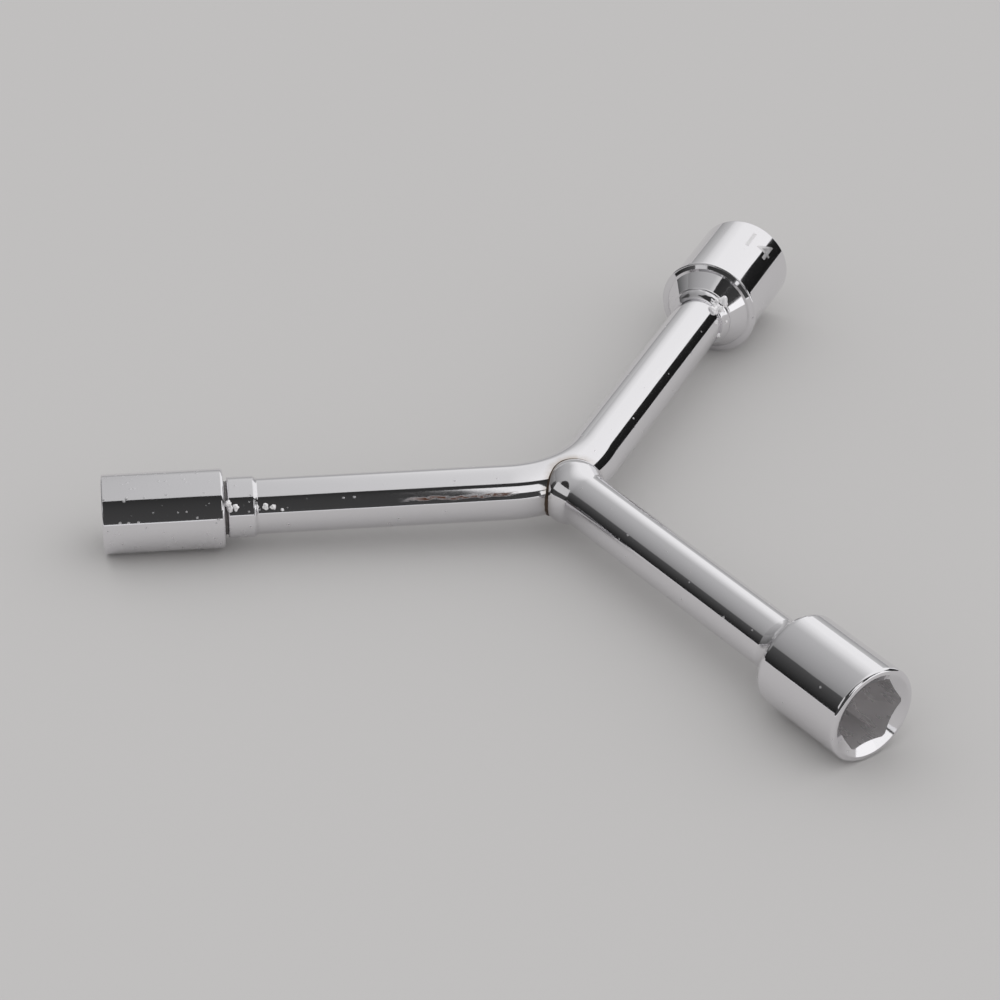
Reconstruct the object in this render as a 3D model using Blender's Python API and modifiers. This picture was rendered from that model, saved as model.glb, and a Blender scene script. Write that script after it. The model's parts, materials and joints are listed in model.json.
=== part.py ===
"""Three-way hex socket wrench: a bent bar carries two sockets, and a branch bar welded on the outside of
the bend carries the third. Lengths are in metres, +Z is up, and the wrench lies on three of its heads."""
import math

import bmesh
import bpy
from mathutils import Matrix, Vector

# Bar stock and the bend
BAR_DIAMETER = 0.0102
BEND_RADIUS = 0.0198  # to the bar's centreline
ARM_ANGLE = math.radians(120)  # between neighbouring arms

# Reach of each arm, from the crossing of the axes to its socket's mouth
LEFT_REACH = 0.0852
FAR_REACH = 0.0912
NEAR_REACH = 0.0841

# Left socket: a cylinder with a grooved collar behind its shoulder
LEFT_HEX_ACROSS_FLATS = 0.010
LEFT_HEX_DEPTH = 0.0115
LEFT_CORNER_WALL = 0.0014  # from a corner of the hexagon to the outside
LEFT_LEAD_IN_OVER_CORNER = 0.0005  # the lead-in cone's mouth over the hexagon's corners
LEFT_HEAD_LENGTH = 0.0220
LEFT_GROOVE_WIDTH = 0.0009
LEFT_GROOVE_DEPTH = 0.0008
LEFT_COLLAR_LENGTH = 0.0044
LEFT_COLLAR_PROUD = 0.0005  # over the bar

# Far socket: a cylinder with a thin flange and a conical hub behind it
FAR_HEX_ACROSS_FLATS = 0.014
FAR_HEX_DEPTH = 0.0135
FAR_CORNER_WALL = 0.00125
FAR_LEAD_IN_OVER_CORNER = 0.0003
FAR_HEAD_LENGTH = 0.0200
FAR_FLANGE_PROUD = 0.0004  # over the socket's cylinder
FAR_FLANGE_LAND = 0.0007
FAR_FLANGE_EDGE = 0.0003
FAR_FLANGE_DISH = 0.0006  # how far the flange's rear face slopes back to the hub
FAR_HUB_DIAMETER = 0.0168
FAR_HUB_LENGTH = 0.0032
FAR_HUB_ROOT_PROUD = 0.0012  # over the bar, at the hub's small end
FAR_HUB_EDGE = 0.0003
FAR_MOUTH_ROUND = 0.0005

# Near socket: a plain cylinder with a rounded shoulder and a wide lead-in
NEAR_HEX_ACROSS_FLATS = 0.012
NEAR_HEX_DEPTH = 0.0125
NEAR_CORNER_WALL = 0.00195
NEAR_LEAD_IN_OVER_CORNER = 0.0009
NEAR_HEAD_LENGTH = 0.0206
NEAR_SHOULDER_ROUND = 0.0009

# Shared by the sockets
BROACH_CLEARANCE = 0.00015  # the hole's across-flats over the nut's
LEAD_IN_ANGLE = math.radians(68)  # between the lead-in cone and the axis
RELIEF_UNDERSIZE = 0.0001  # the round hole's radius under half the across-flats
RELIEF_LENGTH = 0.0008  # round hole past the end of the hexagon
FLOOR_CONE_DEPTH = 0.0007
MOUTH_EDGE = 0.0003
SHOULDER_EDGE = 0.0004

# Welded ends: a spigot in a blind bore, and a vee weld in front of it
SPIGOT_DIAMETER = 0.0070
SPIGOT_LENGTH = 0.0040
WELD_LEG = 0.0019  # along the bar, from the head's rear face
WELD_LAND_PROUD = 0.00012  # where the weld runs out on the bar
LEFT_WELD_PROUD = 0.0004
FAR_WELD_PROUD = 0.0010
NEAR_WELD_PROUD = 0.0009

# Foot of the branch bar: a ball coped over the outside of the bend, on a saddle of weld
FOOT_DIAMETER = 0.0124
FOOT_CENTRE = 0.0015  # from the crossing of the axes
FOOT_FILLET_LENGTH = 0.0040  # from the ball's widest part down to the bar
SADDLE_THICKNESS = 0.0009
SADDLE_PROUD = 0.0002

# Gap between pieces that touch
FIT_GAP = 0.0003

# Fineness of the surfaces
TURNED_STEPS = 48
ROUND_STEPS = 4
BALL_STEPS = 14
BEND_STEPS = 14
BAR_BEVEL_RESOLUTION = 16
SMOOTH_LIMIT = math.radians(32)
WELD_DISTANCE = 1e-6

HEX_SIDES = 6


def clear_scene():
    for old in list(bpy.data.objects):
        bpy.data.objects.remove(old, do_unlink=True)


def new_collection(name):
    group = bpy.data.collections.new(name)
    bpy.context.scene.collection.children.link(group)
    return group


def metal(name, colour, roughness):
    """A plated metal as a Principled material."""
    material = bpy.data.materials.new(name)
    material.use_nodes = True
    shader = material.node_tree.nodes["Principled BSDF"]
    shader.inputs["Base Color"].default_value = (*colour, 1.0)
    shader.inputs["Metallic"].default_value = 1.0
    shader.inputs["Roughness"].default_value = roughness
    material.diffuse_color = (*colour, 1.0)
    return material


def hex_corner_radius(across_flats):
    return (across_flats + BROACH_CLEARANCE) / math.sqrt(3)


def socket_radius(across_flats, corner_wall):
    return hex_corner_radius(across_flats) + corner_wall


def arc(centre_r, centre_z, radius, start, end, steps):
    """Points of an arc in an outline, as (r, z), from the angle start to the angle end."""
    points = []
    for i in range(steps + 1):
        angle = start + (end - start) * i / steps
        points.append((centre_r + radius * math.cos(angle), centre_z + radius * math.sin(angle)))
    return points


def turned(name, outline, group, closed=False):
    """A solid of revolution about Z. The outline runs down the outer side, as (r, z)."""
    mesh = bpy.data.meshes.new(name)
    shape = bmesh.new()
    points = [shape.verts.new((r, 0.0, z)) for r, z in outline]
    for upper, lower in zip(points, points[1:]):
        shape.edges.new((upper, lower))
    if closed:
        shape.edges.new((points[-1], points[0]))
    shape.to_mesh(mesh)
    shape.free()
    piece = bpy.data.objects.new(name, mesh)
    group.objects.link(piece)
    screw = piece.modifiers.new("turn", "SCREW")
    screw.steps = TURNED_STEPS
    screw.render_steps = TURNED_STEPS
    screw.use_merge_vertices = True
    screw.merge_threshold = WELD_DISTANCE
    return piece


def tube_mesh(name, path, radii):
    """A round bar along a path as a closed mesh. radii holds the bar's radius at each point."""
    thickest = max(radii)
    curve = bpy.data.curves.new(name, "CURVE")
    curve.dimensions = "3D"
    curve.bevel_depth = thickest
    curve.bevel_resolution = BAR_BEVEL_RESOLUTION
    curve.use_fill_caps = True
    spline = curve.splines.new("POLY")
    spline.points.add(len(path) - 1)
    for point, place, radius in zip(spline.points, path, radii):
        point.co = (*place, 1.0)
        point.radius = radius / thickest
    guide = bpy.data.objects.new(name, curve)
    bpy.context.scene.collection.objects.link(guide)
    evaluated = guide.evaluated_get(bpy.context.evaluated_depsgraph_get())
    mesh = bpy.data.meshes.new_from_object(evaluated)
    shape = bmesh.new()
    shape.from_mesh(mesh)
    bmesh.ops.remove_doubles(shape, verts=shape.verts, dist=WELD_DISTANCE)
    shape.to_mesh(mesh)
    shape.free()
    bpy.data.objects.remove(guide, do_unlink=True)
    bpy.data.curves.remove(curve)
    mesh.name = name
    return mesh


def hex_prism(name, across_flats, bottom, top, group):
    """A hexagonal prism along Z, with its flats facing +X and -X."""
    mesh = bpy.data.meshes.new(name)
    shape = bmesh.new()
    radius = hex_corner_radius(across_flats)
    bmesh.ops.create_cone(
        shape, cap_ends=True, segments=HEX_SIDES, radius1=radius, radius2=radius, depth=top - bottom,
        matrix=Matrix.Translation((0.0, 0.0, (top + bottom) / 2)))
    shape.to_mesh(mesh)
    shape.free()
    prism = bpy.data.objects.new(name, mesh)
    group.objects.link(prism)
    return as_cutter(prism)


def as_cutter(piece):
    piece.hide_render = True
    piece.display_type = "WIRE"
    return piece


def combine(piece, tool, operation):
    """Adds a Boolean with the tool to the piece."""
    step = piece.modifiers.new(tool.name, "BOOLEAN")
    step.operation = operation
    step.solver = "EXACT"
    step.object = tool


def arm_placing(direction_angle, station):
    """Local Z points out along an arm and local X points up, at a distance from the crossing."""
    along = Vector((math.cos(direction_angle), math.sin(direction_angle), 0.0))
    up = Vector((0.0, 0.0, 1.0))
    side = along.cross(up)
    turn = Matrix((up, side, along)).transposed().to_4x4()
    return Matrix.Translation(along * station) @ turn


# The arms lie in the wrench's own plane: the left one along -X, the others on each side of +X
LEFT_DIRECTION = math.pi
FAR_DIRECTION = math.pi - ARM_ANGLE
NEAR_DIRECTION = math.pi + ARM_ANGLE

BAR_RADIUS = BAR_DIAMETER / 2
SPIGOT_RADIUS = SPIGOT_DIAMETER / 2
LEFT_RADIUS = socket_radius(LEFT_HEX_ACROSS_FLATS, LEFT_CORNER_WALL)
FAR_RADIUS = socket_radius(FAR_HEX_ACROSS_FLATS, FAR_CORNER_WALL)
NEAR_RADIUS = socket_radius(NEAR_HEX_ACROSS_FLATS, NEAR_CORNER_WALL)
FAR_FLANGE_RADIUS = FAR_RADIUS + FAR_FLANGE_PROUD

# Whole length of each head, from its mouth to its rear face
LEFT_LENGTH = LEFT_HEAD_LENGTH + LEFT_GROOVE_WIDTH + LEFT_COLLAR_LENGTH
FAR_LENGTH = FAR_HEAD_LENGTH + FAR_FLANGE_DISH + FAR_HUB_LENGTH
NEAR_LENGTH = NEAR_HEAD_LENGTH


def hole_outline(across_flats, hex_depth, lead_in_over_corner):
    """The round part of a socket's hole, from its floor up to the mouth at z = 0."""
    hole_radius = across_flats / 2 - RELIEF_UNDERSIZE
    mouth_radius = hex_corner_radius(across_flats) + lead_in_over_corner
    lead_in = (mouth_radius - hole_radius) / math.tan(LEAD_IN_ANGLE)
    floor = -hex_depth - RELIEF_LENGTH
    return [
        (0.0, floor - FLOOR_CONE_DEPTH),
        (hole_radius, floor),
        (hole_radius, -lead_in),
        (mouth_radius, 0.0),
    ]


def spigot_bore_outline(rear):
    """The blind bore in a head's rear face, from the face in to the axis."""
    bore_radius = SPIGOT_RADIUS + FIT_GAP
    return [
        (bore_radius, rear),
        (bore_radius, rear + SPIGOT_LENGTH + FIT_GAP),
        (0.0, rear + SPIGOT_LENGTH + FIT_GAP),
    ]


def broached(name, outline, across_flats, hex_depth, placing, parts, cutters):
    """A turned socket with its hexagonal hole cut."""
    piece = turned(name, outline, parts)
    prism = hex_prism(name + "_broach", across_flats, -hex_depth, MOUTH_EDGE, cutters)
    piece.matrix_world = placing
    prism.matrix_world = placing
    combine(piece, prism, "DIFFERENCE")
    return piece


def left_socket(parts, cutters):
    collar_radius = BAR_RADIUS + LEFT_COLLAR_PROUD
    groove_radius = collar_radius - LEFT_GROOVE_DEPTH
    shoulder = -LEFT_HEAD_LENGTH
    collar_front = shoulder - LEFT_GROOVE_WIDTH
    rear = -LEFT_LENGTH
    outline = hole_outline(LEFT_HEX_ACROSS_FLATS, LEFT_HEX_DEPTH, LEFT_LEAD_IN_OVER_CORNER)
    outline += arc(LEFT_RADIUS - MOUTH_EDGE, -MOUTH_EDGE, MOUTH_EDGE, math.pi / 2, 0.0, ROUND_STEPS)
    outline += arc(
        LEFT_RADIUS - SHOULDER_EDGE, shoulder + SHOULDER_EDGE, SHOULDER_EDGE, 0.0, -math.pi / 2, ROUND_STEPS)
    outline += [(groove_radius, shoulder), (groove_radius, collar_front)]
    outline += arc(
        collar_radius - MOUTH_EDGE, collar_front - MOUTH_EDGE, MOUTH_EDGE, math.pi / 2, 0.0, ROUND_STEPS)
    outline += [(collar_radius, rear)]
    outline += spigot_bore_outline(rear)
    return broached(
        "left_socket", outline, LEFT_HEX_ACROSS_FLATS, LEFT_HEX_DEPTH,
        arm_placing(LEFT_DIRECTION, LEFT_REACH), parts, cutters)


def far_socket(parts, cutters):
    flange_back = -FAR_HEAD_LENGTH
    flange_front = flange_back + FAR_FLANGE_LAND
    rear = -FAR_LENGTH
    root_radius = BAR_RADIUS + FAR_HUB_ROOT_PROUD
    outline = hole_outline(FAR_HEX_ACROSS_FLATS, FAR_HEX_DEPTH, FAR_LEAD_IN_OVER_CORNER)
    outline += arc(
        FAR_RADIUS - FAR_MOUTH_ROUND, -FAR_MOUTH_ROUND, FAR_MOUTH_ROUND, math.pi / 2, 0.0, ROUND_STEPS)
    outline += [(FAR_RADIUS, flange_front + FAR_FLANGE_PROUD), (FAR_FLANGE_RADIUS, flange_front)]
    outline += arc(
        FAR_FLANGE_RADIUS - FAR_FLANGE_EDGE, flange_back + FAR_FLANGE_EDGE, FAR_FLANGE_EDGE,
        0.0, -math.pi / 2, ROUND_STEPS)
    outline.append((FAR_HUB_DIAMETER / 2, flange_back - FAR_FLANGE_DISH))
    outline += arc(
        root_radius - FAR_HUB_EDGE, rear + FAR_HUB_EDGE, FAR_HUB_EDGE, 0.0, -math.pi / 2, ROUND_STEPS)
    outline += spigot_bore_outline(rear)
    return broached(
        "far_socket", outline, FAR_HEX_ACROSS_FLATS, FAR_HEX_DEPTH,
        arm_placing(FAR_DIRECTION, FAR_REACH), parts, cutters)


def near_socket(parts, cutters):
    rear = -NEAR_LENGTH
    outline = hole_outline(NEAR_HEX_ACROSS_FLATS, NEAR_HEX_DEPTH, NEAR_LEAD_IN_OVER_CORNER)
    outline += arc(NEAR_RADIUS - MOUTH_EDGE, -MOUTH_EDGE, MOUTH_EDGE, math.pi / 2, 0.0, ROUND_STEPS)
    outline += arc(
        NEAR_RADIUS - NEAR_SHOULDER_ROUND, rear + NEAR_SHOULDER_ROUND, NEAR_SHOULDER_ROUND,
        0.0, -math.pi / 2, ROUND_STEPS)
    outline += spigot_bore_outline(rear)
    return broached(
        "near_socket", outline, NEAR_HEX_ACROSS_FLATS, NEAR_HEX_DEPTH,
        arm_placing(NEAR_DIRECTION, NEAR_REACH), parts, cutters)


def bar_end(rear_station):
    """Stations and radii of a bar's end under a head: full bar, vee, spigot root and spigot tip."""
    vee_length = BAR_RADIUS - SPIGOT_RADIUS
    vee_start = rear_station - WELD_LEG
    return [
        (vee_start, BAR_RADIUS),
        (vee_start + vee_length, SPIGOT_RADIUS),
        (rear_station + SPIGOT_LENGTH, SPIGOT_RADIUS),
    ]


def bend_path():
    """Centreline of the bend in the wrench's plane, from the left arm round to the far arm."""
    turn = math.pi - ARM_ANGLE
    middle = FAR_DIRECTION + ARM_ANGLE / 2
    centre = Vector((math.cos(middle), math.sin(middle), 0.0)) * (BEND_RADIUS / math.sin(ARM_ANGLE / 2))
    points = []
    for i in range(BEND_STEPS + 1):
        angle = middle + math.pi + turn * (i / BEND_STEPS - 1 / 2)
        points.append(centre + Vector((math.cos(angle), math.sin(angle), 0.0)) * BEND_RADIUS)
    return points


def left_point(station):
    return Vector((math.cos(LEFT_DIRECTION), math.sin(LEFT_DIRECTION), 0.0)) * station


def far_point(station):
    return Vector((math.cos(FAR_DIRECTION), math.sin(FAR_DIRECTION), 0.0)) * station


def bent_bar_mesh(name, extra):
    """The bent bar, thickened all round by extra, which also serves as the tool that copes the foot."""
    left_end = bar_end(LEFT_REACH - LEFT_LENGTH)
    far_end = bar_end(FAR_REACH - FAR_LENGTH)
    path = [left_point(station) for station, radius in reversed(left_end)]
    radii = [radius for station, radius in reversed(left_end)]
    bend = bend_path()
    path += bend + [far_point(station) for station, radius in far_end]
    radii += [BAR_RADIUS] * len(bend) + [radius for station, radius in far_end]
    return tube_mesh(name, path, [radius + extra for radius in radii])


def bent_bar(parts):
    piece = bpy.data.objects.new("bent_bar", bent_bar_mesh("bent_bar", 0.0))
    parts.objects.link(piece)
    return piece


def bend_tool(name, extra, cutters):
    tool = bpy.data.objects.new(name, bent_bar_mesh(name, extra))
    cutters.objects.link(tool)
    return as_cutter(tool)


def branch_bar(parts, cutters):
    """The third bar: a spigot end, and a ball foot coped to sit over the bend."""
    foot_radius = FOOT_DIAMETER / 2
    end = bar_end(NEAR_REACH - NEAR_LENGTH)
    outline = [(0.0, end[-1][0])] + [(radius, station) for station, radius in reversed(end)]
    for i in range(BALL_STEPS + 1):
        share = i / BALL_STEPS
        ease = (1 + math.cos(math.pi * share)) / 2
        station = FOOT_CENTRE + FOOT_FILLET_LENGTH * (1 - share)
        outline.append((foot_radius - (foot_radius - BAR_RADIUS) * ease, station))
    outline += arc(0.0, FOOT_CENTRE, foot_radius, 0.0, -math.pi / 2, BALL_STEPS)[1:-1]
    outline.append((0.0, FOOT_CENTRE - foot_radius))
    piece = turned("branch_bar", outline, parts)
    piece.matrix_world = arm_placing(NEAR_DIRECTION, 0.0)
    cope = bend_tool("branch_bar_cope", FIT_GAP + SADDLE_THICKNESS + FIT_GAP, cutters)
    combine(piece, cope, "DIFFERENCE")
    return piece


def junction_weld(parts, cutters):
    """The saddle of weld metal between the bend and the branch bar's foot."""
    radius = FOOT_DIAMETER / 2 + SADDLE_PROUD
    outline = [(0.0, radius)] + arc(0.0, 0.0, radius, math.pi / 2, -math.pi / 2, 2 * BALL_STEPS)[1:-1]
    outline.append((0.0, -radius))
    piece = turned("junction_weld", outline, parts)
    piece.matrix_world = arm_placing(NEAR_DIRECTION, FOOT_CENTRE)
    layer = bend_tool("junction_weld_layer", FIT_GAP + SADDLE_THICKNESS, cutters)
    combine(piece, layer, "INTERSECT")
    seat = bend_tool("junction_weld_seat", FIT_GAP, cutters)
    combine(piece, seat, "DIFFERENCE")
    return piece


def neck_weld(name, direction, rear_station, proud, parts):
    """A ring of weld metal in the vee between a bar's end and a head's rear face."""
    face = -FIT_GAP
    vee_shift = FIT_GAP * math.sqrt(2)
    run_out = -WELD_LEG + vee_shift
    root_radius = BAR_RADIUS + run_out - face
    crown_radius = BAR_RADIUS + proud
    land_radius = BAR_RADIUS + WELD_LAND_PROUD
    outline = [
        (crown_radius, face),
        (crown_radius - (crown_radius - land_radius) / 3, (face + run_out) / 2),
        (land_radius, run_out),
        (root_radius, face),
    ]
    piece = turned(name, outline, parts, closed=True)
    piece.matrix_world = arm_placing(direction, rear_station)
    return piece


def arm_plane_lean():
    """Tilt and height of the wrench's plane when the left mouth, far flange and near shoulder touch."""
    touches = []
    for direction, station, radius in (
            (LEFT_DIRECTION, LEFT_REACH - MOUTH_EDGE, LEFT_RADIUS),
            (FAR_DIRECTION, FAR_REACH - FAR_HEAD_LENGTH + FAR_FLANGE_EDGE, FAR_FLANGE_RADIUS),
            (NEAR_DIRECTION, NEAR_REACH - NEAR_LENGTH + NEAR_SHOULDER_ROUND, NEAR_RADIUS)):
        touches.append(Vector((math.cos(direction) * station, math.sin(direction) * station, radius)))
    normal = (touches[1] - touches[0]).cross(touches[2] - touches[0]).normalized()
    if normal.z < 0.0:
        normal.negate()
    height = normal.dot(touches[0]) / normal.z
    return Vector((0.0, 0.0, 1.0)).rotation_difference(normal), height


def world_corners(pieces):
    """Lowest and highest corner of the pieces' evaluated meshes."""
    graph = bpy.context.evaluated_depsgraph_get()
    low = Vector((math.inf, math.inf, math.inf))
    high = -low
    for piece in pieces:
        evaluated = piece.evaluated_get(graph)
        for vertex in evaluated.data.vertices:
            place = evaluated.matrix_world @ vertex.co
            low = Vector(map(min, low, place))
            high = Vector(map(max, high, place))
    return low, high


def bake_shape(piece):
    """Turns the piece's modifiers into its mesh, and shades round faces smooth."""
    evaluated = piece.evaluated_get(bpy.context.evaluated_depsgraph_get())
    mesh = bpy.data.meshes.new_from_object(evaluated)
    mesh.name = piece.name
    piece.modifiers.clear()
    piece.data = mesh
    mesh.shade_smooth()
    mesh.set_sharp_from_angle(angle=SMOOTH_LIMIT)


def build():
    clear_scene()
    parts = new_collection("y_wrench")
    cutters = new_collection("y_wrench_cutters")
    plane = bpy.data.objects.new("arm_plane", None)
    parts.objects.link(plane)

    chrome = {
        "bent_bar": metal("bent_bar_chrome", (0.80, 0.79, 0.81), 0.08),
        "branch_bar": metal("branch_bar_chrome", (0.79, 0.78, 0.81), 0.08),
        "left_socket": metal("left_socket_chrome", (0.81, 0.80, 0.82), 0.10),
        "far_socket": metal("far_socket_chrome", (0.82, 0.81, 0.82), 0.07),
        "near_socket": metal("near_socket_chrome", (0.80, 0.80, 0.82), 0.07),
        "junction_weld": metal("junction_weld_tint", (0.42, 0.34, 0.29), 0.30),
        "left_neck_weld": metal("left_neck_weld_chrome", (0.74, 0.72, 0.74), 0.16),
        "far_neck_weld": metal("far_neck_weld_chrome", (0.74, 0.72, 0.74), 0.16),
        "near_neck_weld": metal("near_neck_weld_chrome", (0.74, 0.72, 0.74), 0.16),
    }
    pieces = [
        bent_bar(parts),
        branch_bar(parts, cutters),
        junction_weld(parts, cutters),
        left_socket(parts, cutters),
        far_socket(parts, cutters),
        near_socket(parts, cutters),
        neck_weld("left_neck_weld", LEFT_DIRECTION, LEFT_REACH - LEFT_LENGTH, LEFT_WELD_PROUD, parts),
        neck_weld("far_neck_weld", FAR_DIRECTION, FAR_REACH - FAR_LENGTH, FAR_WELD_PROUD, parts),
        neck_weld("near_neck_weld", NEAR_DIRECTION, NEAR_REACH - NEAR_LENGTH, NEAR_WELD_PROUD, parts),
    ]
    bpy.context.view_layer.update()
    for piece in pieces:
        bake_shape(piece)
        piece.data.materials.append(chrome[piece.name])
    for tool in list(cutters.objects):
        bpy.data.objects.remove(tool, do_unlink=True)
    bpy.data.collections.remove(cutters)

    # The wrench is set down on its three heads, with the middle of its outline over the origin
    lean, height = arm_plane_lean()
    for piece in pieces:
        piece.parent = plane
    plane.rotation_mode = "QUATERNION"
    plane.rotation_quaternion = lean
    plane.location = (0.0, 0.0, height)
    bpy.context.view_layer.update()
    low, high = world_corners(pieces)
    middle = (low + high) / 2
    plane.location -= Vector((middle.x, middle.y, low.z))
    bpy.context.view_layer.update()


build()
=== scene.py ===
"""Looks of the three-way hex socket wrench: mirror chrome, brown weld lines and matte holes."""

import json
import math

import bmesh
import bpy
from mathutils import Matrix, Vector, kdtree, noise

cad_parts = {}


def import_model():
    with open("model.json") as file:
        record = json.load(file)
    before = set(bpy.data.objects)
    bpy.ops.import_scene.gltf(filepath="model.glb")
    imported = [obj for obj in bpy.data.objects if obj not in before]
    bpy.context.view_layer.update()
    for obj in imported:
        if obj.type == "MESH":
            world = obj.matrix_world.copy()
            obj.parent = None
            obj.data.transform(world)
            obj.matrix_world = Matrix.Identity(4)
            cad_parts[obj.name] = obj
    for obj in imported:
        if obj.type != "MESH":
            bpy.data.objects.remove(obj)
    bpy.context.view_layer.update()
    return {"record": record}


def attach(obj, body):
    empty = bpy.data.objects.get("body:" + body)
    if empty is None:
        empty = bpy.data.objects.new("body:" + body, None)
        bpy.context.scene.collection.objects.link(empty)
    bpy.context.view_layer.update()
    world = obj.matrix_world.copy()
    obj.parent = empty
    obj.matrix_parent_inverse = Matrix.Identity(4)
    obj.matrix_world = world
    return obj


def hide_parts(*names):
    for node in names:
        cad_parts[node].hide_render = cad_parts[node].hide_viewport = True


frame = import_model()

# Sizes of the wrench, in metres
BAR_RADIUS = 0.0051
BEND_RADIUS = 0.0198
ARM_ANGLE = math.radians(120)
BROACH_CLEARANCE = 0.00015

# Each head: its mouth's distance from the crossing of the axes, its hexagon's width and depth, its
# wall outside the hexagon's corners, its lead-in's reach beyond them, and its whole length
LEFT = {
    "reach": 0.0852, "flats": 0.010, "depth": 0.0115,
    "wall": 0.0014, "lead_in": 0.0005, "length": 0.0273}
FAR = {
    "reach": 0.0912, "flats": 0.014, "depth": 0.0135,
    "wall": 0.00125, "lead_in": 0.0003, "length": 0.0238}
NEAR = {
    "reach": 0.0841, "flats": 0.012, "depth": 0.0125,
    "wall": 0.00195, "lead_in": 0.0009, "length": 0.0206}
HEADS = {"left": LEFT, "far": FAR, "near": NEAR}

# Lengths along a head are behind its mouth
LEFT_SHOULDER = 0.0220
LEFT_GROOVE_WIDTH = 0.0006
LEFT_GROOVE_DEPTH = 0.0008
LEFT_COLLAR_PROUD = 0.0005
FAR_FLANGE_BACK = 0.0200
FAR_FLANGE_LAND = 0.0007
FAR_FLANGE_PROUD = 0.0004
FAR_FLANGE_EDGE = 0.0003
FAR_FLANGE_DISH = 0.0006
FAR_HUB_RADIUS = 0.0084
FAR_HUB_ROOT_PROUD = 0.0012
FAR_HUB_FILLET = 0.0005
FAR_HUB_EDGE = 0.0003
FAR_MOUTH_ROUND = 0.0005
NEAR_SHOULDER_ROUND = 0.0018
NEAR_MOUTH_ROUND = 0.0007

# The hole and the edges of a socket
LEAD_IN_ANGLE = math.radians(60)  # between the lead-in cone and the axis
RELIEF_UNDERSIZE = 0.0001
RELIEF_LENGTH = 0.0008
FLOOR_CONE_DEPTH = 0.0007
MOUTH_EDGE = 0.0003
SHOULDER_EDGE = 0.00055
HEX_SIDES = 6
HEX_CORNER_ROUND = 0.00045

# The foot of the branch bar and the welds
FOOT_RADIUS = 0.0062
FOOT_CENTRE = 0.0015
FOOT_FILLET_LENGTH = 0.0040
BEAD_RADIUS_LOW = 0.00036  # at the bar's middle height and below
BEAD_RADIUS_TOP = 0.00010
BEAD_LUMP = 0.35  # how much the bead swells and shrinks, as a share of its radius
BEAD_LUMP_SIZE = 3 * BEAD_RADIUS_LOW
BEAD_SEED = 3.0
TINT_REACH = 0.0016  # how far from the weld the heat coloured the plating
BAR_IN_HEAD = 0.0010  # how far a bar runs on inside its head

# The ring of weld behind each head: its length, its height over the bar, and its ripples' seed
NECK_WELDS = {
    "left": {"length": 0.0018, "proud": 0.0004, "seed": 1.0},
    "far": {"length": 0.0018, "proud": 0.0010, "seed": 5.0},
    "near": {"length": 0.0048, "proud": 0.0016, "seed": 9.0},
}
STEP_SHARE = 0.5  # the part of a ring's length over which a step comes down
FILLET_POWER = 2.2
RING_LEAN = 1.4
RING_FULLNESS = 0.8
WELD_RIPPLE = 0.00002
WELD_RIPPLES = 22  # round the ring
RIPPLE_DRIFT = 2.0  # of the ripples to and fro, as an angle of their wave
RIPPLE_DRIFTS = 3  # round the ring
ROUGH_SHARE = 2.0  # the height of the rough lumps over that of the ripples
ROUGH_LUMPS = 4.0  # round the ring, in steps of the noise for each radian
ROUGH_LENGTH = 0.0006

# Weld spatter: arm, distance from the crossing, angle from the top, distance from the arm's axis,
# and radius
SPATTER = [
    ("left", 0.0559, -58.6, 0.0051, 0.00058),
    ("left", 0.0545, -59.4, 0.0051, 0.00054),
    ("left", 0.0573, -57.5, 0.0052, 0.00028),
    ("left", 0.0529, -66.3, 0.0051, 0.00034),
    ("left", 0.0626, -49.0, 0.0060, 0.00060),
    ("left", 0.0612, -56.5, 0.0056, 0.00062),
    ("left", 0.0622, -58.5, 0.0058, 0.00055),
    ("far", 0.0680, 45.0, 0.0060, 0.00125),
    ("far", 0.0648, 43.0, 0.0052, 0.00110),
    ("far", 0.0667, 36.0, 0.0056, 0.00085),
    ("far", 0.0664, 52.0, 0.0056, 0.00070),
    ("far", 0.0632, 65.8, 0.0051, 0.00045),
    ("far", 0.0666, 83.0, 0.0056, 0.00050),
    ("far", 0.0637, 101.8, 0.0052, 0.00045),
]
SPATTER_SINK = 0.35  # how deep a lump's middle lies, as a share of its radius
SPATTER_LUMP = 0.45  # how far from round a lump is, as a share of its radius
SPATTER_LUMPS = 1.3  # steps of the noise in a lump's radius
SPATTER_SEED_STEP = 7.0

# The size numeral on the far head
NUMERAL = "14"
NUMERAL_STATION = 0.0854
NUMERAL_ANGLE = math.radians(31)
NUMERAL_SIZE = 0.0072
NUMERAL_PROUD = 0.00002
NUMERAL_BOLD = 0.00002
NUMERAL_CUT = 0.0003  # width of the strips that let the figures bend round the head

# Fineness of the meshes
ROUND = 192
EDGE_STEPS = 8
REAR_EDGE_STEPS = 2
BALL_STEPS = 40
BEND_STEPS = 72
WELD_STEPS = 16
BEAD_SIDES = 16
BEAD_POINTS = 240
SPATTER_SUBDIVISIONS = 4
HOLD = 0.00004  # distance from an edge to the ring that keeps the flat beside it flat
SHORTEST_HELD = 4 * HOLD
SMOOTH_LIMIT = math.radians(30)
MERGE_DISTANCE = 1e-7

# What the vertices carry: their place on the metal, and how close they are to the weld
PLACE = "metal_place"
TINT = "heat_tint"

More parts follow.
